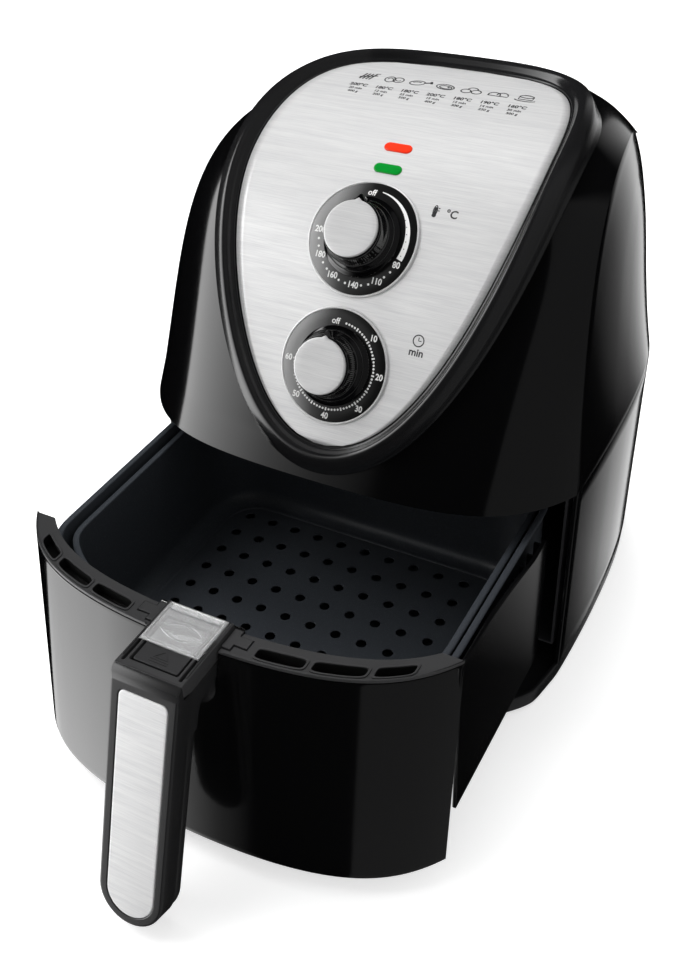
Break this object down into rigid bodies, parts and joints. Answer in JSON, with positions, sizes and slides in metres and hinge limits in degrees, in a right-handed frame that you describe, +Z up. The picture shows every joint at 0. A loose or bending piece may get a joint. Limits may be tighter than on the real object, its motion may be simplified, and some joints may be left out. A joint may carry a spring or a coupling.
{
  "type": "air fryer",
  "caption": "Countertop basket air fryer with a sloping steel control panel, two rotary dials, a pull-out drawer and a lift-out basket with a handle, latch and release button.",
  "frame": {"origin": "on the surface that the fryer stands on, under its middle foot, midway between the four outer ones", "axes": "+Z up, +X to the right as seen from the front, -Y towards the front where the drawer comes out"},
  "size_m": [0.3028, 0.5302, 0.35],
  "materials": {
    "gloss_black_plastic": "moulded, high gloss",
    "satin_black_plastic": "moulded, fine texture",
    "brushed_steel": "brushed along the width",
    "polished_steel": "polished",
    "zinc_steel": "zinc plated",
    "aluminised_steel": "aluminised",
    "dark_coating": "non-stick coating",
    "red_lens": "clear, tinted red",
    "green_lens": "clear, tinted green",
    "lamp_holder": "moulded",
    "rubber": "moulded",
    "bay_plastic": "moulded",
    "natural_nylon": "moulded",
    "element_sheath": "oxidised steel tube",
    "motor_steel": "laminated and plated",
    "control_resin": "moulded",
    "bell_brass": "pressed",
    "wire_sleeve": "woven sleeve",
    "clear_plastic": "clear polycarbonate"
  },
  "bodies": {
    "housing": {"front_cover": "gloss_black_plastic", "panel_ring": "gloss_black_plastic", "control_panel": "brushed_steel", "temp_dial": "gloss_black_plastic", "timer_dial": "gloss_black_plastic", "power_lens": "red_lens", "heat_lens": "green_lens", "pilot_lamps": "lamp_holder", "upper_housing": "gloss_black_plastic", "lower_housing": "gloss_black_plastic", "base_tray": "gloss_black_plastic", "rubber_feet": "rubber", "air_outlet": "satin_black_plastic", "cord_gland": "satin_black_plastic", "bay_liner": "bay_plastic", "bay_runners": "natural_nylon", "bay_ceiling": "zinc_steel", "heat_chamber": "zinc_steel", "heat_shield": "aluminised_steel", "heating_element": "element_sheath", "element_clips": "zinc_steel", "element_guard": "polished_steel", "motor": "motor_steel", "motor_bracket": "zinc_steel", "motor_screws": "zinc_steel", "chamber_screws": "zinc_steel", "thermostat": "control_resin", "timer": "control_resin", "timer_bell": "bell_brass", "door_switch": "satin_black_plastic", "thermal_fuse": "control_resin", "terminal_block": "natural_nylon", "wiring": "wire_sleeve", "base_screws": "zinc_steel"},
    "fan_rotor": {"motor_shaft": "polished_steel", "hot_air_fan": "aluminised_steel", "cooling_fan": "natural_nylon", "fan_nuts": "zinc_steel"},
    "temp_control": {"temp_knob": "gloss_black_plastic", "temp_knob_cap": "brushed_steel", "thermostat_shaft": "polished_steel"},
    "timer_control": {"timer_knob": "gloss_black_plastic", "timer_knob_cap": "brushed_steel", "timer_shaft": "polished_steel"},
    "drawer": {"drawer_front": "gloss_black_plastic", "drawer_rim": "satin_black_plastic", "pan": "dark_coating", "latch_strike": "polished_steel", "drawer_screws": "zinc_steel"},
    "basket_unit": {"basket": "dark_coating", "basket_bracket": "polished_steel", "handle_shell": "gloss_black_plastic", "handle_back": "gloss_black_plastic", "handle_inlay": "brushed_steel", "handle_screws": "zinc_steel", "button_spring": "zinc_steel"},
    "release_button": {"release_button": "satin_black_plastic"},
    "button_guard": {"button_guard": "clear_plastic"},
    "latch_hook": {"latch_hook": "zinc_steel"},
    "switch_lever": {"switch_lever": "natural_nylon"}
  },
  "joints": [
    {"name": "drawer_slide", "type": "slide", "parent": "housing", "child": "drawer", "axis": [0, -1, 0], "range_m": [-0.1395, 0.03]},
    {"name": "basket_lift", "type": "slide", "parent": "drawer", "child": "basket_unit", "axis": [0, 0, 1], "range_m": [0, 0.018]},
    {"name": "button_press", "type": "slide", "parent": "basket_unit", "child": "release_button", "axis": [0, 0, -1], "range_m": [0, 0.003], "stiffness_N_per_m": 500, "springref_m": -0.002, "deforming": ["button_spring"]},
    {"name": "hook_slide", "type": "slide", "parent": "basket_unit", "child": "latch_hook", "axis": [0, 1, 0], "range_m": [0, 0.0025]},
    {"name": "guard_slide", "type": "slide", "parent": "basket_unit", "child": "button_guard", "axis": [0, -1, 0], "range_m": [0, 0.022]},
    {"name": "temp_turn", "type": "hinge", "parent": "housing", "child": "temp_control", "pos_m": [0, -0.05284, 0.29008], "axis": [0, -0.7611, 0.6487], "range_deg": [-275, 0]},
    {"name": "timer_turn", "type": "hinge", "parent": "housing", "child": "timer_control", "pos_m": [0, -0.09448, 0.22596], "axis": [0, -0.8733, 0.4871], "range_deg": [-285, 0]},
    {"name": "fan_spin", "type": "hinge", "parent": "housing", "child": "fan_rotor", "pos_m": [0, 0.02, 0.2], "axis": [0, 0, 1], "continuous": true},
    {"name": "switch_swing", "type": "hinge", "parent": "housing", "child": "switch_lever", "pos_m": [0.06, 0.1123, 0.1715], "axis": [1, 0, 0], "range_deg": [0, 6], "stiffness_Nm_per_rad": 0.02, "springref_deg": -5.73}
  ],
  "couplings": [
    {"joint": "hook_slide", "follows": "button_press", "ratio": 0.83333}
  ]
}
